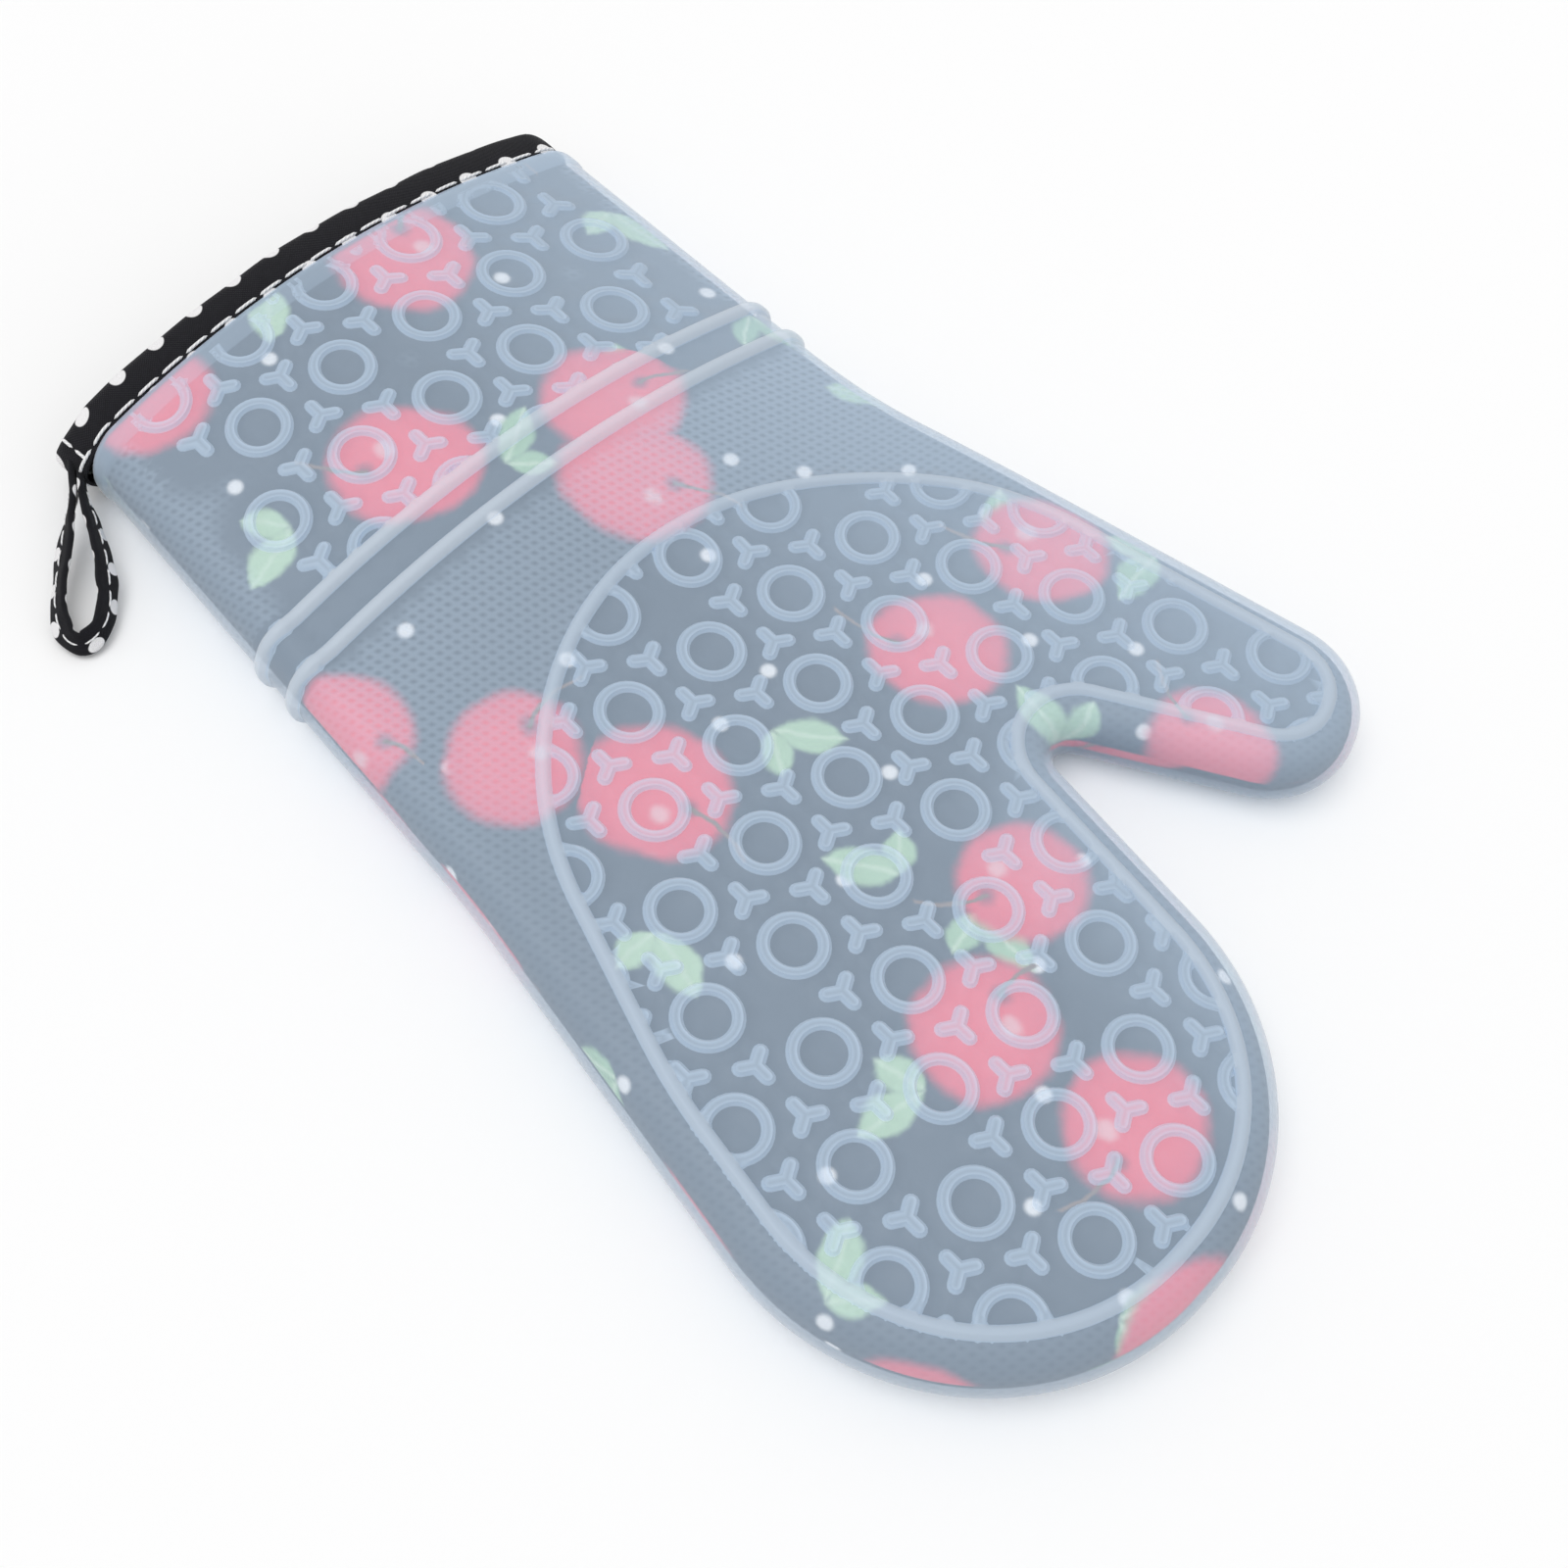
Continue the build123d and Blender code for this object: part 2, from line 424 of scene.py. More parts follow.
def stud_points():
    """Points on a three-armed stud, about its own centre."""
    arm = [(s, 0.0) for s in np.linspace(0, stud_reach, 4)]
    for row in bead_rows[-3:]:
        half = row * stud_width / 2
        arm += [(s, side * half) for s in np.linspace(half / math.sqrt(3), stud_reach, 4) for side in (-1, 1)]
        arm += [tuple(np.array((stud_reach, 0)) + half * direction(a)) for a in (-60, -30, 0, 30, 60)]
    return np.vstack([turned(np.array(arm), math.radians(a)) for a in stud_arms])


def grip_points(grips, field):
    """Points on all the rings and studs near a field."""
    rings, studs, turns = grips
    ring = ring_points()
    stud = stud_points()
    close = near_field(studs, field)
    found = [centre + ring for centre in rings[near_field(rings, field)]]
    found += [centre + turned(stud, turn) for centre, turn in zip(studs[close], turns[close])]
    return np.vstack(found)


def grip_relief(points, grips):
    """Height and milkiness of the rings and studs."""
    rings, studs, turns = grips
    raised = bead(np.abs(nearest_gap(points, rings) - ring_middle), ring_width, ring_relief, grip_hollow)
    close = near_field(studs, points)
    nearest = ((points[:, None] - studs[close]) ** 2).sum(axis=2).argmin(axis=1)
    local = points - studs[close][nearest]
    gap = np.full(len(points), np.inf)
    for arm in stud_arms:
        axis = direction(np.degrees(turns[close][nearest]) + arm)
        reach = np.clip((local * axis).sum(axis=1), 0, stud_reach)
        gap = np.minimum(gap, np.linalg.norm(local - reach[:, None] * axis, axis=1))
    return np.maximum(raised, bead(gap, stud_width, stud_relief, grip_hollow))


def in_cuff_band(points):
    """Which points lie between the rim and the first ridge."""
    return (points[:, 0] > rim_width / 2) & (points[:, 0] < ridge_places[0])


def knurl_share(along):
    """How strongly the knurl shows: in full at the wrist, faintly on the fingers, not on rim and ridges."""
    below = (along > rim_width) & (along < ridge_places[0] - ridge_width)
    above = along > ridge_places[1] + ridge_width
    fall = np.clip((along - knurled_to) / (smooth_from - knurled_to), 0, 1)
    return (below | above) * (1 - (1 - finger_knurl) * fall)


def painted_side_sheen(points, facing):
    """Painted sheen: how much milkier the shell is drawn towards the thumb's side and along the index finger.
    """
    along, across = points.T
    thumb_edge = np.interp(along, *np.array((cuff_thumb, wrist, thumb_outer)).T)
    thumb_side = np.clip(1 - (thumb_edge - across) / thumb_side_reach, 0, 1)
    to_index = np.interp(along, *np.array((crotch, tip_index)).T) - across
    past_crotch = np.clip((along - crotch[0]) / crotch_fade, 0, 1)
    on_fingers = past_crotch * np.clip(1 + to_index / crotch_radius, 0, 1)
    index_side = np.clip(1 - to_index / index_side_reach, 0, 1) * on_fingers
    return facing * (thumb_side_painted_sheen * thumb_side + index_side_painted_sheen * index_side)


def relief_at(points):
    """Height and milkiness of the palm's surface, with the sides' painted sheen added to the milkiness, and
    how strongly it is knurled.
    """
    raised = np.maximum(hoops(points[:, 0]), bead(nearest_gap(points, rib_line), rib_width, rib_relief))
    in_palm = inside(points, rib_line)
    in_cuff = in_cuff_band(points)
    for grips, field in ((palm_grips, in_palm), (cuff_grips, in_cuff)):
        raised[:, field] = np.maximum(raised[:, field], grip_relief(points[field], grips))
    height, milkiness = raised
    off_grips = np.clip((nearest_gap(points, np.vstack(cuff_grips[:2])) - bare_reach) / bare_blur, 0, 1)
    plain = ~in_palm & (height < flush)
    knurling = plain * knurl_share(points[:, 0]) * np.where(in_cuff, off_grips, 1.0)
    # The milkiness carries the painted sheen of the thumb's and index finger's sides as well
    return height, milkiness + painted_side_sheen(points, 1), knurling


def pattern_points():
    """Points that the mesh needs to show the raised pattern."""
    out = outward_of(np.vstack((rib_line[-1:], rib_line, rib_line[:1])))[1:-1]
    rib = [rib_line + out * rib_width / 2 * row for row in bead_rows]
    palm = grip_points(palm_grips, rib_line)
    palm = palm[inside(palm, rib_line) & (nearest_gap(palm, rib_line) > rib_width * clear_of_rib)]
    cuff = grip_points(cuff_grips, np.array((cuff_little, (ridge_places[0], cuff_thumb[1]))))
    cuff = cuff[in_cuff_band(cuff)]
    beads = [(rim_width / 2, rim_width)] + [(place, ridge_width) for place in ridge_places]
    lines = [middle + width / 2 * row for middle, width in beads for row in bead_rows]
    places = np.arange(-hoop_reach, hoop_reach, hoop_step)
    hoop = np.array([(along, across) for along in lines for across in places if along > clear_of_boundary])
    return np.vstack(rib + [palm, cuff, hoop])


def filling(boundary, features, spacing):
    """Points spread over the inside of a boundary, clear of it and of the features."""
    low = boundary.min(axis=0)
    high = boundary.max(axis=0)
    places = np.arange(low[0], high[0], spacing)
    rows = np.arange(low[1], high[1], spacing * row_spacing)
    grid = np.array([(x + spacing / 2 * (k % 2), y) for k, y in enumerate(rows) for x in places])
    grid = grid[inside(grid, boundary)]
    grid = grid[nearest_gap(grid, boundary) > clear_of_edge * spacing]
    if len(features):
        grid = grid[nearest_gap(grid, features) > clear_of_pattern * spacing]
    return grid


def plate(boundary, points):
    """Triangles that fill a boundary loop through the points inside it."""
    count = len(boundary)
    loop = [(k, (k + 1) % count) for k in range(count)]
    found = delaunay_2d_cdt([Vector(p) for p in np.vstack((boundary, points))], loop, [], 1, 1e-5)
    return np.array([v[:] for v in found[0]]), found[2]


def strip_faces(rows, per_row):
    """Quads between the rows of a grid of corners."""
    starts = [r * per_row + c for r in range(rows - 1) for c in range(per_row - 1)]
    return [(k, k + 1, k + per_row + 1, k + per_row) for k in starts]


def settled(points):
    """Points of the moulded shape, moved to where the soft cuff lies."""
    across = np.clip(points[:, 1] / cuff_thumb[1], -1, 1)
    part = np.clip(points[:, 0] / ridge_places[0], 0, 1)
    slant = rim_slant + (ridge_slant - rim_slant) * part
    bow = rim_bow + (ridge_bow - rim_bow) * part
    soft = 1 - eased((points[:, 0] - settled_from) / (settled_to - settled_from))
    moved = points.copy()
    moved[:, 0] += (slant * (across + 1) / 2 - bow * (1 - across**2)) * soft
    return moved


def to_row(points):
    """Millimetres from the cuff's rim to metres in the row's own frame."""
    return (points + rim_place) / 1000


def in_scene(name, data):
    """A new object of the scene."""
    made = bpy.data.objects.new(name, data)
    bpy.context.collection.objects.link(made)
    return made


class Surface:
    """Corners and faces being gathered for one mesh, with what each corner carries for its material."""

    def __init__(self):
        self.points = []
        self.faces = []
        self.slots = []
        self.carried = []

    def add(self, points, faces, plan, milkiness=0.0, knurling=0.0, slot=0):
        start = sum(len(p) for p in self.points)
        self.points.append(points)
        self.faces += [tuple(start + k for k in face) for face in faces]
        self.slots += [slot] * len(faces)
        self.carried.append(columns(*plan.T, 0.0, milkiness, knurling))

    def build(self, name):
        """The mesh object, in metres. The cloth's plan goes on face corners, so that it breaks at a seam."""
        mesh = bpy.data.meshes.new(name)
        mesh.from_pydata(to_row(settled(np.vstack(self.points))).tolist(), [], self.faces)
        mesh.polygons.foreach_set("material_index", self.slots)
        carried = np.vstack(self.carried)
        for key, values in zip(("milkiness", "knurling"), carried[:, 3:].T):
            mesh.attributes.new(key, "FLOAT", "POINT").data.foreach_set("value", values.copy())
        corners = np.empty(len(mesh.loops), dtype=int)
        mesh.loops.foreach_get("vertex_index", corners)
        plan = carried[corners, :3].ravel()
        mesh.attributes.new("plan", "FLOAT_VECTOR", "CORNER").data.foreach_set("vector", plan)
        shaped = bmesh.new()
        shaped.from_mesh(mesh)
        bmesh.ops.remove_doubles(shaped, verts=shaped.verts, dist=weld_gap)
        bmesh.ops.recalc_face_normals(shaped, faces=shaped.faces)
        shaped.to_mesh(mesh)
        shaped.free()
        mesh.shade_smooth()
        mesh.set_sharp_from_angle(angle=math.radians(sharp_angle))
        return in_scene(name, mesh)


def shell_step(along):
    """Spacing of the shell's outline: fine at the cuff, where rim and ridges run over the mitt's sides."""
    return cuff_step if along < cuff_step_to else palm_step


def face_points(plan, side, rise):
    """Places on the palm's face, or on the back's, over places in plan."""
    return columns(*plan.T, mid_height + side * rise + crown(*plan.T) * (side > 0))


def add_side(surface, edge, out, inset, side, patterned, slot):
    """Half of the mitt's rounded sides, from a face's edge to mid height. Gives back its rows of points."""
    reach = edge_reach - inset
    rise = half_thickness - inset
    angles = np.linspace(math.pi / 2, 0, side_rows)
    unrolled = running_length(columns(reach * np.cos(angles), rise * np.sin(angles)))
    rows = []
    carried = []
    for angle, around in zip(angles, unrolled):
        level = math.cos(angle)
        steep = math.sin(angle)
        place = edge - out * (inset + reach * (1 - level))
        lift = steep * (side * rise + crown(*place.T) * (side > 0))
        slope = unit(columns(*(out * level * rise).T, side * steep * reach))
        height, milkiness = hoops(place[:, 0]) if patterned else np.zeros((2, len(edge)))
        rows.append(columns(*place.T, mid_height + lift) + slope * height[:, None])
        plan = edge - out * (edge_reach - around) + cloth_cut[side]
        # Painted sheen: the sides' milkiness is raised towards the thumb and along the index finger
        milkiness = milkiness + painted_side_sheen(place, steep)
        knurling = knurl_share(place[:, 0]) * (1 - edge_smoothing * level)
        carried.append(columns(*plan.T, milkiness, knurling))
    x, y, milkiness, knurling = np.vstack(carried).T
    faces = strip_faces(side_rows, len(edge))
    surface.add(np.vstack(rows), faces, columns(x, y), milkiness, knurling, slot)
    return rows


def add_skin(surface, inset, start, patterned, slot):
    """One surface of the mitt, drawn in by an inset. Gives back the loop round its open mouth."""
    edge, out = mitt_edge(start, shell_step if patterned else lambda along: liner_step)
    palm_rows, back_rows = (add_side(surface, edge, out, inset, side, patterned, slot) for side in (1, -1))

    top = palm_rows[0][:, :2]
    across = np.linspace(top[-1, 1], top[0, 1], mouth_points)[1:-1]
    mouth = columns(start, across)
    boundary = np.vstack((top, mouth))
    features = np.empty((0, 2))
    if patterned:
        features = pattern_points()
        features = features[inside(features, boundary)]
        features = features[nearest_gap(features, boundary) > clear_of_boundary]
    spread = filling(boundary, features, shell_spacing if patterned else liner_spacing)
    plan, triangles = plate(boundary, np.vstack((features, spread)))
    height, milkiness, knurling = relief_at(plan) if patterned else np.zeros((3, len(plan)))
    rise = half_thickness - inset
    for side in (1, -1):
        points = face_points(plan, side, rise + height)
        surface.add(points, triangles, plan + cloth_cut[side], milkiness, knurling, slot)

    rows = palm_rows + back_rows[-2::-1]
    little, thumb = (np.array([row[end] for row in rows]) for end in (0, -1))
    palm_lip, back_lip = (face_points(mouth, side, rise) for side in (1, -1))
    return np.vstack((little, back_lip[::-1], thumb[::-1], palm_lip))


def layer(name, insets, start, patterned=False):
    """One layer of the mitt as a closed mesh: outside, inside, and the lip between them at the cuff."""
    surface = Surface()
    outside = add_skin(surface, insets[0], start, patterned, 0)
    within = add_skin(surface, insets[1], start, False, 1)
    loops = np.vstack((outside, outside[:1], within, within[:1]))
    surface.add(loops, strip_faces(2, len(outside) + 1), loops[:, 1:])
    return surface.build(name)


# The CAD shell's own corner says where the rim lies in the row's frame
outline, _ = mitt_edge(0.0, shell_step)
shell_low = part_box("silicone_shell_hand")[0]
rim_place = np.array((shell_low[0] * 1000, shell_low[1] * 1000 - outline[:, 1].min(), 0.0))


def mouth_loop(along, inset):
    """Closed loop round the mitt's mouth, drawn in by an inset, from below the little finger's side."""
    little, thumb = side_points(along)
    reach = edge_reach - inset
    rise = half_thickness - inset
    low = little[1] + edge_reach
    high = thumb[1] - edge_reach
    flared = np.clip(flare_at_rim - (1 - flare_at_rim) * along / binding_depth, 0, 1)
    flare = corner_flare * flared * (along < 0) * (inset < wadding_insets[1])
    level, steep = direction(np.linspace(-90, 90, 17)).T
    left = columns(low - (reach + flare * level**2) * level, rise * steep)
    right = columns(high + reach * level, rise * steep)[::-1]
    run = np.linspace(low, high, mouth_points + 2)[1:-1]
    loop = np.vstack((left, columns(run, rise), right, columns(run[::-1], -rise), left[:1]))
    across, up = loop.T
    lifted = np.clip(up / rise, 0, 1) * crown(along, across)
    return columns(along, across, mid_height + up + lifted)


def binding_profile():
    """Section of the folded tape, as places along the mitt and insets: its outer, then its inner face."""
    faces = []
    level, steep = direction(np.linspace(0, 180, 13)).T
    for thick in (0, tape_thickness):
        radius = (binding_inside - binding_outside) / 2 - thick
        fold = -binding_depth + thick + radius
        run = np.linspace(binding_start, fold, 9)[:-1]
        bend = columns(fold - radius * steep, binding_middle - radius * level)
        inner = columns(run[::-1], binding_middle + radius)
        faces.append(np.vstack((columns(run, binding_middle - radius), bend, inner)))
    return np.vstack((faces[0], faces[1][::-1], faces[0][:1]))


def binding_tape():
    """Tape folded over the liner's raw edge and sewn, a little uneven along its length."""
    profile = binding_profile()
    round_mouth = running_length(mouth_loop(-binding_depth / 2, binding_outside))
    waver = sum(height * np.sin(round_mouth / length + phase) for height, length, phase in tape_waver)
    waver *= np.sin(math.pi * round_mouth / round_mouth[-1]) ** 0.5
    rows = []
    plans = []
    for (along, inset), across in zip(profile, running_length(profile)):
        depth = -along / binding_depth
        bulge = tape_bulge * math.sin(math.pi * min(1.0, depth)) * (1 if inset < binding_middle else -1)
        row = mouth_loop(along, inset - bulge)
        row[:, 0] += waver * np.clip(depth, 0, 1)
        rows.append(row)
        plans.append(columns(round_mouth, across + dot_shift - dot_shear * round_mouth))
    surface = Surface()
    surface.add(np.vstack(rows), strip_faces(len(rows), len(round_mouth)), np.vstack(plans))
    return surface.build("binding_tape")


def tube(surface, path, radius, sides=8):
    """A round thread along a path, with pointed ends that dive into the cloth."""
    ahead = headings(path)
    aside = unit(np.cross(ahead, never_along))
    upward = np.cross(ahead, aside)
    swell = np.sin(math.pi * np.linspace(0, 1, len(path)))
    thick = radius * np.clip(thread_taper * swell, thread_point, 1)
    turns = np.linspace(0, 2 * math.pi, sides + 1)
    spokes = np.cos(turns)[:, None] * aside[:, None] + np.sin(turns)[:, None] * upward[:, None]
    points = path[:, None] + thick[:, None, None] * spokes
    plan = np.stack(np.broadcast_arrays(running_length(path)[:, None], radius * turns), axis=-1)
    last = (len(path) - 1) * (sides + 1)
    ends = [tuple(range(sides)), tuple(range(last, last + sides))]
    surface.add(points.reshape(-1, 3), strip_faces(len(path), sides + 1) + ends, plan.reshape(-1, 2))


def lay_stitch(surface, seat, crest, length, start, span, radius, points=9, sides=8):
    """One stitch from a start along a seam, arched from the seam's seat up to its crest and back."""
    share = np.linspace(0, 1, points)
    places = start + span * share
    low, high = (columns(*(np.interp(places, length, part) for part in line.T)) for line in (seat, crest))
    arch = np.sin(math.pi * share)[:, None] ** 0.5
    tube(surface, low + (high - low) * arch, radius, sides)


def binding_stitches():
    """Running stitch round the binding beside the shell's rim, and the tack that holds the loop's root."""
    surface = Surface()
    seat_inset = binding_outside - stitch_sunk
    seat = mouth_loop(stitch_along, seat_inset)
    crest = mouth_loop(stitch_along, seat_inset - thread_radius * stitch_crest)
    length = running_length(seat)
    count = round(length[-1] / stitch_pitch)
    pitch = length[-1] / count
    for k in range(count):
        span = pitch * stitch_length / stitch_pitch
        lay_stitch(surface, seat, crest, length, k * pitch, span, thread_radius)
    places = np.linspace(*tack_ends, 12)
    tack = np.array([mouth_loop(along, binding_outside - tack_lift)[tack_place] for along in places])
    for half in np.split(tack, 2):
        tube(surface, half, thread_radius)
    return surface.build("binding_stitches")


def smooth_line(points, per_run):
    """Catmull-Rom curve through points."""
    ends = np.vstack((2 * points[0] - points[1], points, 2 * points[-1] - points[-2]))
    found = []
    for a, b, c, d in zip(ends, ends[1:], ends[2:], ends[3:]):
        for t in np.arange(per_run) / per_run:
            bend = (2 * a - 5 * b + 4 * c - d) * t**2 + (3 * b - a - 3 * c + d) * t**3
            found.append(0.5 * (2 * b + (c - a) * t + bend))
    return np.array(found + [points[-1]])


def loop_line():
    """Line of the folded loop: its ends tucked into the binding, then open in a drop that leans aside."""
    leg = [(-loop_tail, 1.0), (2, 1.0), (9, 1.3), (17, 3.2), (27, 5.3), (37, 6.0), (45, 4.4)]
    back = [(46, -4.0), (39, -5.5), (28, -4.6), (17, -2.7), (9, -1.2), (2, -1.0), (-loop_tail, -1.0)]
    line = smooth_line(np.array(leg + [(loop_length, 0)] + back), 8)
    line[:, 1] -= loop_sway * np.clip(line[:, 0], 0, None) ** 2
    return line


def on_loop(line, aside, upward):
    """Places on the tape, aside from and above the loop's line; it leans in and slopes to the table."""
    opened = np.clip((line[:, 0] - loop_opens_at) / loop_opens_over, 0, 1)
    share = math.pi * np.linspace(0, 1, len(line))
    ripple = loop_ripple * np.sin(loop_ripples * share)
    lean = -opened * (loop_lean + loop_end_lean * np.sin(share) ** 6 + ripple)
    sideways = aside * np.cos(lean) + upward * np.sin(lean)
    up = upward * np.cos(lean) - aside * np.sin(lean)
    slope = math.asin((mid_height - loop_tape_width / 2 - loop_foot) / loop_length)
    ahead = headings(line)
    flat = line + columns(-ahead[:, 1], ahead[:, 0]) * sideways[:, None]
    spot = columns(flat[:, 0] * math.cos(slope) + up * math.sin(slope), flat[:, 1])
    spot = turned(spot, math.radians(loop_direction)) + loop_root[:2]
    height = loop_root[2] + up * math.cos(slope) - flat[:, 0] * math.sin(slope)
    return columns(*spot.T, np.maximum(height, loop_clear_of_table))


def hanging_loop():
    """Folded tape on its edge, leaning in, a little uneven along its length."""
    line = loop_line()
    length = running_length(line)
    waver = 1 + loop_waver * np.sin(2 * math.pi * length / loop_waver_length)
    half = loop_tape_thickness / 2
    flat = loop_tape_width / 2 - half
    corner = half * direction(np.linspace(0, 180, 7)) + (0, flat)
    section = np.vstack((corner, -corner, corner[:1]))
    along_print, round_print = loop_print_stretch
    rows = []
    plans = []
    for (aside, upward), girth in zip(section, running_length(section)):
        rows.append(on_loop(line, aside, upward * waver))
        plans.append(columns(length * along_print, (girth - loop_print_shift) * round_print))
    first = np.arange(len(section) - 1) * len(line)
    ends = [tuple(first), tuple(first + len(line) - 1)]
    surface = Surface()
    surface.add(np.vstack(rows), strip_faces(len(rows), len(line)) + ends, np.vstack(plans))
    return surface.build("hanging_loop_tape")


def loop_stitches():
    """Running stitch along the middle of the folded loop, on its outer and inner faces."""
    line = loop_line()
    length = running_length(line)
    first, left_free = loop_stitch_margins
    starts = np.arange(first, length[-1] - left_free, loop_stitch_pitch)
    surface = Surface()
    for side in (1, -1):
        seat, crest = (
            on_loop(line, side * (loop_tape_thickness / 2 + lift), 0.0)
            for lift in (loop_stitch_sunk, loop_stitch_crest))
        for start in starts:
            lay_stitch(surface, seat, crest, length, start, loop_stitch_length, loop_thread_radius, 7, 6)
    return surface.build("loop_stitches")


# Share of what lies behind that the silicone veils, from its plain wall to its tallest bead
outer_veil = ((0, 0.40), (0.12, 0.71), (0.38, 0.62), (0.56, 0.73), (0.81, 0.72), (1, 0.75))
inner_veil = 0.04
frosted_from = 0.65
frosted_most = 0.85

# Knurl of crossing rows, which veils the wall a little more and its dimples a little less
knurl_turns = (9, 77)
knurl_pitch = 2.3
knurl_veil = 0.11
dimple_veil = -0.12

# Light that the wall passes on: scattered by its face, let in and out with little loss
scattered_more = 0.9
light_kept_out = 0.15

# Printed cloth: how its hand-drawn lines waver, and the spacing, shift and left-out share of its motifs
print_waver = ((0.07, 4.0), (0.4, 1.2))
motif_scatter = 0.72
far_off = 1000.0
pin_dot_spread = (36.0, (311.0, 115.07, 0), 0.0)
sprig_spread = (49.0, (97.0, 35.89, 0), 0.25)
cherry_spread = (60.0, (24.0, 8.88, 0), 0.12)

# Motifs, with edges that say how far an ink reaches and over how much it blurs
pin_dot_edge = (1.9, 1.5)
leaf_shapes = ((72, 6.5, 4.3), (0, 9.5, 5.2))
leaf_edge = (-0.4, 2.2)
vein_edge = (0.5, 1.2)
sprig_root = 9.0
cherry_radius = 14.5
cherry_radius_range = 3.0
cherry_oval = (1.0, 0.93, 1.0)
cherry_edge = (0.0, 4.2)
cherry_shade = (-4.5, 9.0)
cherry_spots = (("#FFB4B6", (5.0, 4.0, 0.0), (2.2, 2.4)), ("#A81F38", (0.0, 9.5, 0.0), (2.0, 3.0)))
stalk_root = 9.0
stalk_half_length = 8.5
stalk_bend = -0.022
stalk_edge = (0.55, 0.7)

# Polka dots in two staggered rows, each in the middle of a repeat, and the twist of the thread
half_repeat = Vector((6.6, 11.5, 0.5))
dot_rows = ((-6.6, 0.0, 0.0), (-2.0, -11.5, 0.0))
dot_edge = (2.4, 0.35)
twist_pitch = 0.7

# Scale at which the wave texture repeats once in a millimetre
one_wave = 2 * math.pi / 20


def linear(hex_colour):
    """sRGB hex to the linear colour that shaders take."""
    parts = [int(hex_colour[k:k + 2], 16) / 255 for k in (1, 3, 5)]
    return [p / 12.92 if p <= 0.04045 else ((p + 0.055) / 1.055) ** 2.4 for p in parts] + [1.0]


def fill(tree, node, inputs):
    """Fill a node's inputs, by key or in order, with values or with other nodes' outputs."""
    pairs = inputs.items() if isinstance(inputs, dict) else enumerate(inputs)
    for key, value in pairs:
        if isinstance(value, bpy.types.NodeSocket):
            tree.links.new(value, node.inputs[key])
        else:
            node.inputs[key].default_value = value


def add(tree, kind, inputs=(), operation=None, output=0, **settings):
    """Add a node with its settings and inputs. Gives back one of its outputs."""
    node = tree.nodes.new("ShaderNode" + kind)
    if operation:
        node.operation = operation
    for key, value in settings.items():
        setattr(node, key, value)
    fill(tree, node, inputs)
    return node.outputs[output]


def new_material(name):
    """A new material and its node tree."""
    material = bpy.data.materials.new(name)
    material.use_nodes = True
    return material, material.node_tree


def new_cloth(name):
    """A new material, its node tree, and where its spots lie on the flat cloth."""
    material, tree = new_material(name)
    return material, tree, add(tree, "Attribute", output="Vector", attribute_name="plan")


def shaded(material, inputs):
    """A material with its Principled shader's inputs filled."""
    fill(material.node_tree, material.node_tree.nodes["Principled BSDF"], inputs)
    return material


def lets_light_in(tree, veil):
    """The veil as each kind of ray meets it. Silicone passes on most of the light that it blurs, so light on
    its way in or out meets little of the veil, and light that its face scatters meets more."""
    rays = add(tree, "LightPath").node.outputs
    behind = add(tree, "NewGeometry", output="Backfacing")
    coming_out = add(tree, "Math", (rays["Is Diffuse Ray"], behind), "MULTIPLY")
    passing = add(tree, "Math", (rays["Is Shadow Ray"], coming_out), "MAXIMUM")
    spread = add(tree, "Math", (rays["Is Diffuse Ray"], scattered_more, 1.0), "MULTIPLY_ADD")
    met = add(tree, "Mix", {0: passing, 2: spread, 3: light_kept_out})
    return add(tree, "Math", (veil, met), "MULTIPLY", use_clamp=True)


def silicone_wall(name):
    """A wall of moulded silicone, blue-white and frosted where it is thick. Gives back its thickness too."""
    material, tree = new_material(name)
    milkiness = add(tree, "Attribute", output="Fac", attribute_name="milkiness")
    share = add(tree, "Math", (milkiness, ridge_relief), "DIVIDE")
    frosted = add(tree, "MapRange", {"Value": share, "From Min": frosted_from, "To Max": frosted_most})
    colour = add(tree, "Mix", {
        0: frosted, 6: linear("#C3D8EE"), 7: linear("#D3DFEC")}, output=2, data_type="RGBA")
    shaded(material, {
        "Base Color": colour, "Roughness": 0.42, "IOR": 1.41, "Sheen Weight": 0.5, "Sheen Roughness": 0.5})
    return material, tree, share


def inner_silicone():
    # Inside of the moulded silicone: all but clear, since the outside carries the veil
    material, tree, _ = silicone_wall("moulded_silicone_inside")
    return shaded(material, {"Alpha": lets_light_in(tree, inner_veil)})


def outer_silicone():
    # Moulded translucent silicone: a milky veil over the print, satin on its beads, with a fine knurl
    material, tree, share = silicone_wall("moulded_silicone")
    veil = add(tree, "ValToRGB", (share,))
    stops = veil.node.color_ramp.elements
    for place, _ in outer_veil[1:-1]:
        stops.new(place)
    for stop, (place, veiled) in zip(stops, outer_veil):
        stop.position = place
        stop.color = (veiled, veiled, veiled, 1)
    plan = add(tree, "Attribute", output="Vector", attribute_name="plan")
    plain = add(tree, "Attribute", output="Fac", attribute_name="knurling")
    dimples = plain
    for turn in knurl_turns:
        across = add(tree, "Mapping", {"Vector": plan, "Rotation": (0, 0, math.radians(turn))})
        row = add(tree, "TexWave", {"Vector": across, "Scale": one_wave / knurl_pitch}, output="Fac")
        dimples = add(tree, "Math", (dimples, row), "MULTIPLY")
    grained = add(tree, "Math", (plain, knurl_veil, veil), "MULTIPLY_ADD")
    veil = add(tree, "Math", (dimples, dimple_veil, grained), "MULTIPLY_ADD")
    bump = add(tree, "Bump", {"Height": dimples, "Strength": 0.35, "Distance": 0.0004}, invert=True)
    return shaded(material, {"Normal": bump, "Alpha": lets_light_in(tree, veil)})


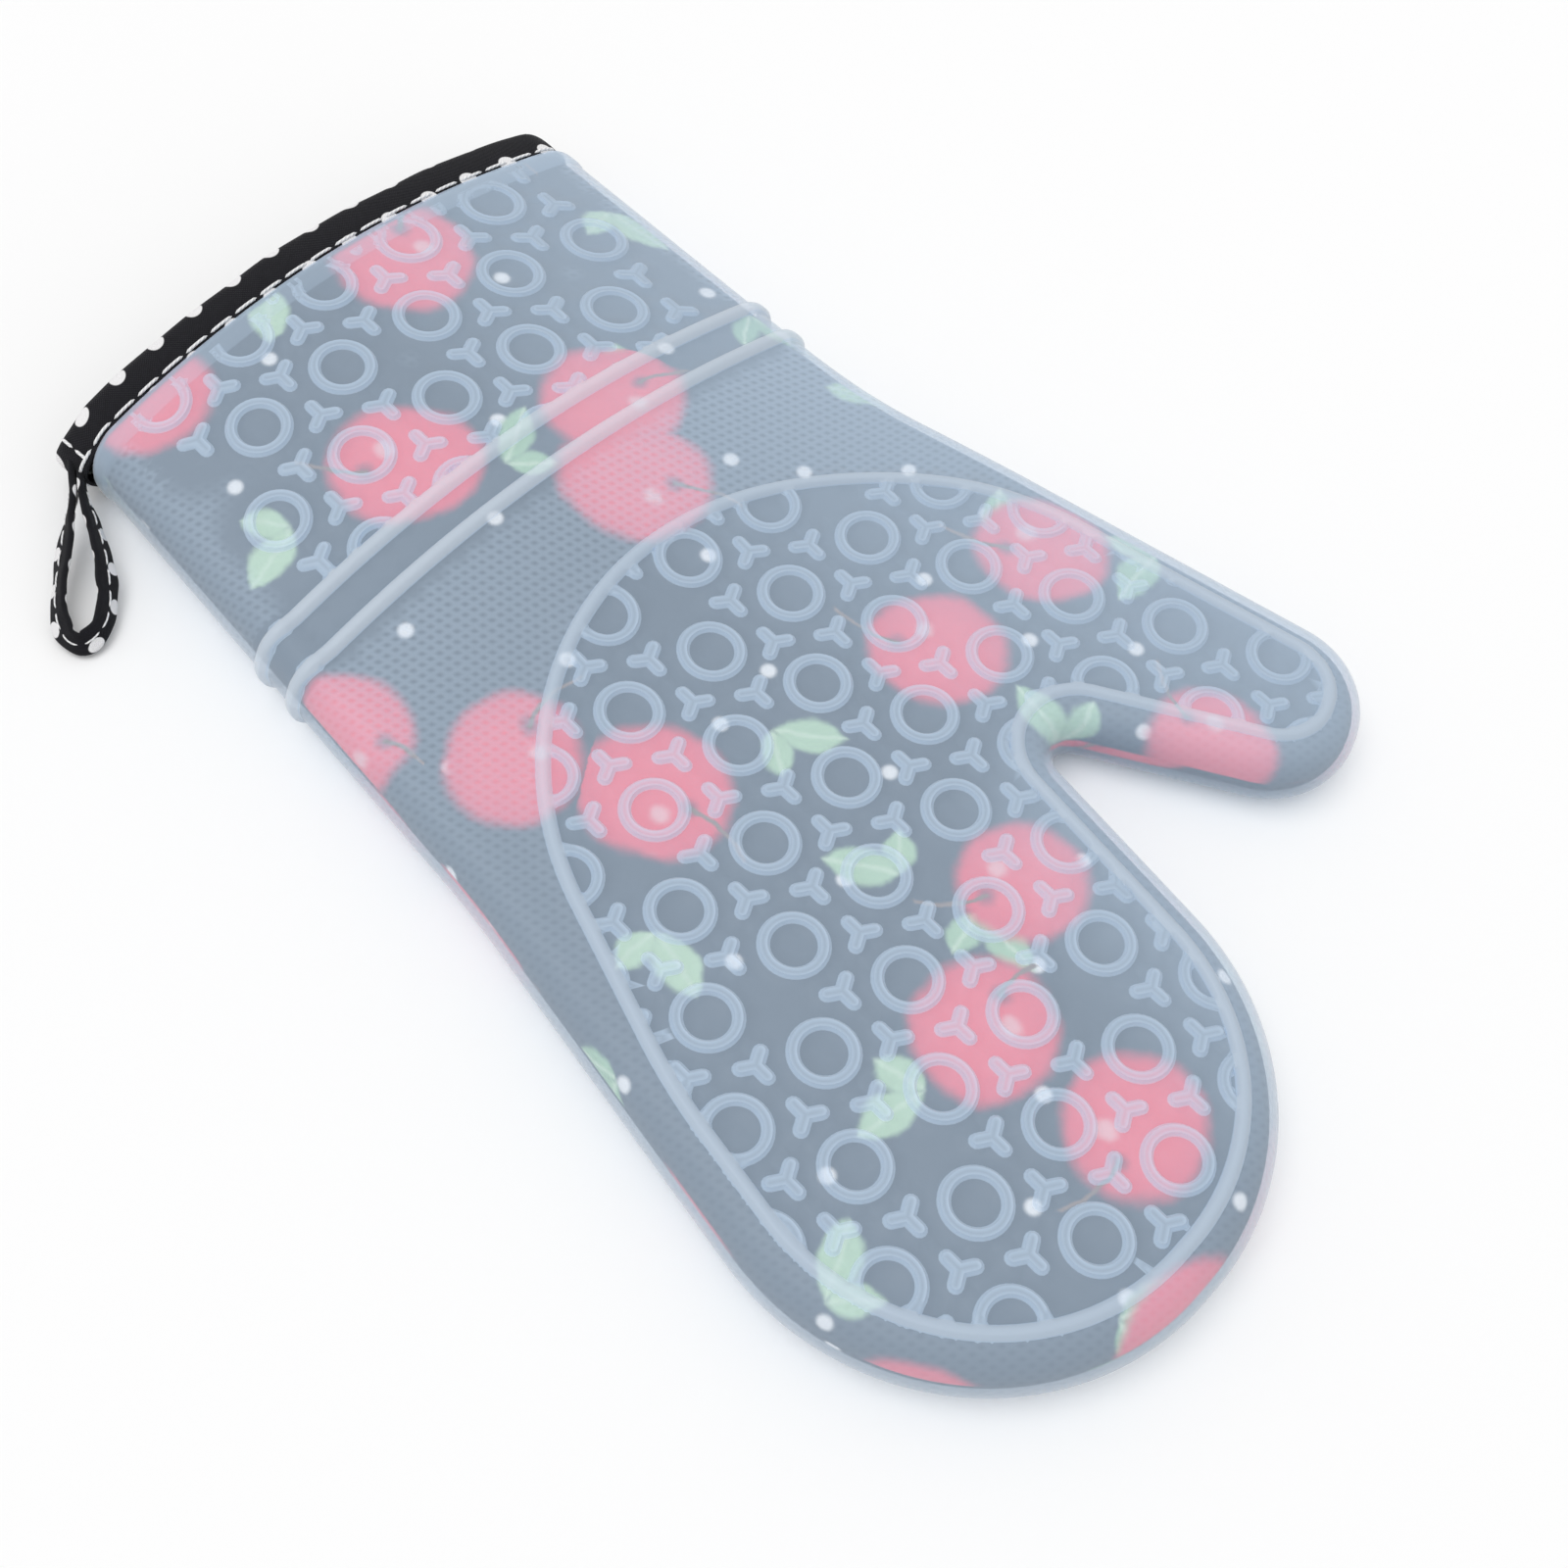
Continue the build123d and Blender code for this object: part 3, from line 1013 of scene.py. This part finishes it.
def printed(tree, cloth, ink, distance, edge):
    """The cloth's colour with an ink laid over it, where a distance is within the ink's edge."""
    size, blur = edge
    inked = add(tree, "MapRange", {
        "Value": distance, "From Min": size - blur / 2, "From Max": size + blur / 2,
        "To Min": 1.0, "To Max": 0.0}, interpolation_type="SMOOTHSTEP")
    return add(tree, "Mix", {0: inked, 6: cloth, 7: ink}, output=2, data_type="RGBA")


def scattered(tree, plan, spacing, shift, left_out):
    """Motifs scattered over the cloth: the vector from the nearest, turned by chance, and a chance tint.
    Round a motif that is left out, the vector is far from any."""
    moved = add(tree, "VectorMath", (plan, shift), "ADD")
    cells = add(tree, "TexVoronoi", {
        "Vector": moved, "Scale": 1 / spacing, "Randomness": motif_scatter}, voronoi_dimensions="2D")
    away = add(tree, "VectorMath", (moved, cells.node.outputs["Position"]), "SUBTRACT")
    chance = add(tree, "SeparateColor", (cells.node.outputs["Color"],)).node.outputs
    angle = add(tree, "Math", (chance["Red"], 2 * math.pi), "MULTIPLY")
    local = add(tree, "VectorRotate", {"Vector": away, "Angle": angle}, rotation_type="Z_AXIS")
    missing = add(tree, "Math", (chance["Green"], left_out), "LESS_THAN")
    motif = add(tree, "VectorMath", (missing, (far_off, far_off, 0), local), "MULTIPLY_ADD")
    return motif, chance["Blue"]


def with_sprigs(tree, cloth, plan):
    """Pairs of leaves with pale veins, printed in a green that varies."""
    sprig, tint = scattered(tree, plan, *sprig_spread)
    green = add(tree, "Mix", {
        0: tint, 6: linear("#8DBB86"), 7: linear("#BFDDB0")}, output=2, data_type="RGBA")
    for lean, length, width in leaf_shapes:
        pivot = {"Vector": sprig, "Center": (-sprig_root, 0, 0), "Angle": math.radians(lean)}
        leaf = add(tree, "VectorRotate", pivot, rotation_type="Z_AXIS")
        part = add(tree, "SeparateXYZ", (leaf,)).node.outputs
        along = add(tree, "Math", (part["X"], 1 / length, sprig_root / length - 1), "MULTIPLY_ADD")
        taper = add(tree, "Math", (along, along), "MULTIPLY")
        half = add(tree, "Math", (taper, -width, width), "MULTIPLY_ADD")
        across = add(tree, "Math", (part["Y"],), "ABSOLUTE")
        beyond = add(tree, "Math", (across, half), "SUBTRACT")
        veined = printed(tree, green, linear("#CFE6C2"), across, vein_edge)
        cloth = printed(tree, cloth, veined, beyond, leaf_edge)
    return cloth


def with_cherries(tree, cloth, plan):
    """Cherries of varied size, each with a gleam, a hollow and a bent stalk."""
    cherry, tint = scattered(tree, plan, *cherry_spread)
    radius = add(tree, "Math", (tint, cherry_radius_range, cherry_radius), "MULTIPLY_ADD")
    oval = add(tree, "VectorMath", (cherry, cherry_oval), "MULTIPLY")
    reach = add(tree, "VectorMath", (oval,), "LENGTH", output="Value")
    beyond = add(tree, "Math", (reach, radius), "SUBTRACT")
    red = printed(tree, linear("#F4304A"), linear("#FF4052"), beyond, cherry_shade)
    for ink, place, edge in cherry_spots:
        gap = add(tree, "VectorMath", (cherry, place), "DISTANCE", output="Value")
        red = printed(tree, red, linear(ink), gap, edge)
    cloth = printed(tree, cloth, red, beyond, cherry_edge)

    part = add(tree, "SeparateXYZ", (cherry,)).node.outputs
    rise = add(tree, "Math", (part["Y"], stalk_root), "SUBTRACT")
    curve = add(tree, "Math", (rise, rise), "MULTIPLY")
    lean = add(tree, "Math", (curve, stalk_bend, part["X"]), "MULTIPLY_ADD")
    aside = add(tree, "Math", (lean,), "ABSOLUTE")
    along = add(tree, "Math", (rise, stalk_half_length), "SUBTRACT")
    from_middle = add(tree, "Math", (along,), "ABSOLUTE")
    past_end = add(tree, "Math", (from_middle, stalk_edge[0] - stalk_half_length), "ADD")
    off_stalk = add(tree, "Math", (aside, past_end), "MAXIMUM")
    return printed(tree, cloth, linear("#8A6A4C"), off_stalk, stalk_edge)


def weave(tree, plan, pitch, strength):
    """Over-and-under weave. Real threads are finer: it is drawn as coarse as it needs to be to show."""
    part = add(tree, "SeparateXYZ", (plan,)).node.outputs
    waves = []
    for axis in ("X", "Y"):
        turn = add(tree, "Math", (part[axis], 2 * math.pi / pitch), "MULTIPLY")
        waves.append(add(tree, "Math", (turn,), "SINE"))
    height = add(tree, "Math", waves, "MULTIPLY")
    return add(tree, "Bump", {"Height": height, "Strength": strength, "Distance": 0.0002})


def printed_cotton():
    # Screen-printed cotton: matt black ground with cherries, leaves and pin dots, softened by the milky shell
    material, tree, plan = new_cloth("printed_cotton")
    drawn = plan
    for scale, reach in print_waver:
        waver = add(tree, "TexNoise", {"Vector": plan, "Scale": scale, "Detail": 1.0}, output="Color")
        drawn = add(tree, "VectorMath", (waver, (reach, reach, 0), drawn), "MULTIPLY_ADD")
    dot, _ = scattered(tree, plan, *pin_dot_spread)
    gap = add(tree, "VectorMath", (dot,), "LENGTH", output="Value")
    cloth = printed(tree, linear("#15151A"), linear("#F6F4F2"), gap, pin_dot_edge)
    cloth = with_cherries(tree, with_sprigs(tree, cloth, drawn), drawn)
    return shaded(material, {
        "Base Color": cloth, "Normal": weave(tree, plan, pitch=0.9, strength=0.35),
        "Roughness": 0.85, "Specular IOR Level": 0.25, "Sheen Weight": 0.1})


def slubbed(tree, plan, dark, light, scale, detail):
    """Colour of a cloth whose yarn varies."""
    slub = add(tree, "TexNoise", {"Vector": plan, "Scale": scale, "Detail": detail}, output="Fac")
    return add(tree, "Mix", {0: slub, 6: linear(dark), 7: linear(light)}, output=2, data_type="RGBA")


def plain_cloth(name, dark, light, pitch):
    # Undyed cotton or wadding: matt, with faint slubs
    material, tree, plan = new_cloth(name)
    return shaded(material, {
        "Base Color": slubbed(tree, plan, dark, light, scale=0.35, detail=4.0),
        "Normal": weave(tree, plan, pitch, strength=0.5), "Roughness": 0.9})


def polka_dot_tape():
    # Bias tape of plain-woven cotton: black, with white dots printed in two staggered rows
    material, tree, plan = new_cloth("polka_dot_cotton_tape")
    gaps = []
    for shift in dot_rows:
        moved = add(tree, "VectorMath", (plan, shift), "ADD")
        away = add(tree, "VectorMath", (moved, half_repeat, -half_repeat), "WRAP")
        gaps.append(add(tree, "VectorMath", (away,), "LENGTH", output="Value"))
    gap = add(tree, "Math", gaps, "MINIMUM")
    black = slubbed(tree, plan, "#0C0C10", "#1A1A20", scale=0.5, detail=3.0)
    return shaded(material, {
        "Base Color": printed(tree, black, linear("#F4F3F4"), gap, dot_edge),
        "Normal": weave(tree, plan, pitch=0.8, strength=0.6),
        "Roughness": 0.85, "Specular IOR Level": 0.2, "Sheen Weight": 0.05})


def sewing_thread():
    # Spun polyester sewing thread: white, with a twist that dents its surface and painted shade in the
    # twist's grooves
    material, tree, plan = new_cloth("polyester_thread")
    ply = add(tree, "TexWave", {
        "Vector": plan, "Scale": one_wave / twist_pitch}, output="Fac", bands_direction="DIAGONAL")
    # Painted shade: the twist's grooves are drawn greyer than its crests
    colour = add(tree, "Mix", {
        0: ply, 6: linear("#D9D9DC"), 7: linear("#FBFBFA")}, output=2, data_type="RGBA")
    bump = add(tree, "Bump", {"Height": ply, "Strength": 0.6, "Distance": 0.0002})
    return shaded(material, {"Base Color": colour, "Normal": bump, "Roughness": 0.6})


def place_piece(piece, materials, nodes, body=None):
    """Give a piece its materials and place; one without a body of its own has its transform baked into its
    mesh.
    """
    for material in materials:
        piece.data.materials.append(material)
    if nodes:
        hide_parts(*nodes)
    if body:
        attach(piece, body)
    else:
        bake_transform(piece)


def layer_nodes(name):
    """CAD nodes of one cloth layer."""
    return [f"{name}_{side}_{half}" for side in ("palm", "back") for half in ("hand", "thumb")]


tape = polka_dot_tape()
thread = sewing_thread()

shell = layer("silicone_moulding", shell_insets, 0.0, patterned=True)
shell_nodes = ["silicone_shell_hand", "silicone_shell_thumb"]
place_piece(shell, [outer_silicone(), inner_silicone()], shell_nodes)

cotton_bag = layer("printed_cotton_bag", cotton_insets, liner_start)
place_piece(cotton_bag, [printed_cotton()], layer_nodes("printed_cotton"))

wadding_bag = layer("wadding_bag", wadding_insets, liner_start)
wadding = plain_cloth("polyester_wadding", "#E2E1DC", "#F4F3EF", pitch=2.5)
place_piece(wadding_bag, [wadding], layer_nodes("wadding"))

lining_bag = layer("lining_bag", lining_insets, liner_start)
lining = plain_cloth("cotton_lining", "#CFCBC2", "#E4E1D9", pitch=0.9)
place_piece(lining_bag, [lining], layer_nodes("lining"))

place_piece(binding_tape(), [tape], ["cuff_binding"], "mitt")
place_piece(binding_stitches(), [thread], ["binding_stitching"], "mitt")
place_piece(hanging_loop(), [tape], ["hanging_loop"], "loop")
place_piece(loop_stitches(), [thread], [], "loop")


def seen_strength(tree, lighting, seen):
    """Strength of a backdrop: one value as a light, another where the camera or a gloss shows it."""
    rays = add(tree, "LightPath").node.outputs
    shown = rays["Is Camera Ray"]
    for kind in ("Is Glossy Ray", "Is Transmission Ray"):
        shown = add(tree, "Math", (shown, rays[kind]), "MAXIMUM")
    return add(tree, "Math", (shown, seen - lighting, lighting), "MULTIPLY_ADD")


# Pale floor, soft light from all round, and a wide soft light overhead that falls evenly on the floor
floor_mesh = bpy.data.meshes.new("floor")
floor_mesh.from_pydata([(-6, -6, 0), (6, -6, 0), (6, 6, 0), (-6, 6, 0)], [], [(0, 1, 2, 3)])
floor = in_scene("floor", floor_mesh)
floor_paint, floor_tree = new_material("pale_floor")
floor_mesh.materials.append(shaded(floor_paint, {
    "Base Color": linear("#F4F4F4"), "Roughness": 0.9, "Emission Color": (1, 1, 1, 1),
    "Emission Strength": seen_strength(floor_tree, lighting=0.0, seen=0.04)}))

world = bpy.data.worlds.new("studio")
bpy.context.scene.world = world
world.use_nodes = True
sky = world.node_tree
fill(sky, sky.nodes["Background"], {
    "Color": (1, 1, 1, 1), "Strength": seen_strength(sky, lighting=0.68, seen=1.0)})

lamp_data = bpy.data.lights.new("overhead", "SUN")
lamp_data.angle = math.radians(45)
lamp_data.energy = 1.2
lamp = in_scene("overhead", lamp_data)
lamp.location = (-0.3, -0.35, 1.5)
lamp.rotation_euler = (-lamp.location).to_track_quat("-Z", "Y").to_euler()

# Camera at the photograph's place: over the fingertips, looking back along the mitt, rolled a little
camera_place = np.array((327.4, -249.8, 468.3))
camera_data = bpy.data.cameras.new("camera")
camera_data.sensor_width = 36.0
camera_data.lens = 51.67
camera_data.clip_start = 0.01
camera = in_scene("camera", camera_data)
right = Vector((0.7303, 0.6757, 0.1006)).normalized()
forward = Vector((-0.2790, 0.4294, -0.8589)).normalized()
turn = Matrix((right, right.cross(forward), -forward)).transposed().to_4x4()
camera.matrix_world = Matrix.Translation(to_row(camera_place)) @ turn
bpy.context.scene.camera = camera
bpy.context.scene.view_settings.view_transform = "Standard"
